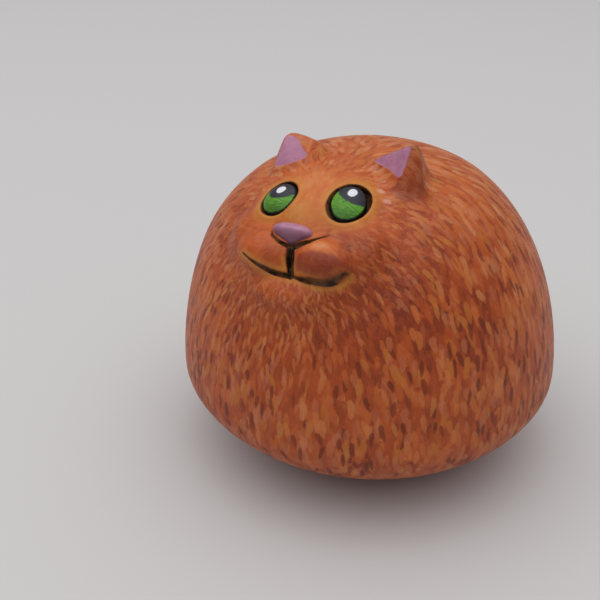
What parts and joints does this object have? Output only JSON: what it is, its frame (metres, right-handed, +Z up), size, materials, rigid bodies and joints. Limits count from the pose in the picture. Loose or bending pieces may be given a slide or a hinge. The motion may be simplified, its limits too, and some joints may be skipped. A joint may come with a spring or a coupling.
{
  "type": "cat figurine",
  "caption": "Round, egg-shaped sitting cat ornament with a modelled face looking up from its upper front, short ears and domed eyes, painted with fur strokes.",
  "frame": {"origin": "middle of the flat foot, on the surface the cat stands on", "axes": "+Z up; the cat looks towards -Y and upwards; +X to the right of a person who faces it"},
  "size_m": [0.054, 0.054, 0.0486],
  "materials": {
    "fur": "hand-painted orange fur strokes under a satin varnish",
    "lip": "ochre paint under a satin varnish",
    "mauve": "mauve paint under a satin varnish",
    "iris": "green and charcoal paint under a satin varnish"
  },
  "bodies": {
    "root": {"body_shell": "fur", "face": "fur", "left_muzzle_pad": "fur", "right_muzzle_pad": "fur", "chin": "lip", "nose": "mauve", "left_ear": "fur", "right_ear": "fur", "left_eye": "iris", "right_eye": "iris"}
  },
  "joints": []
}
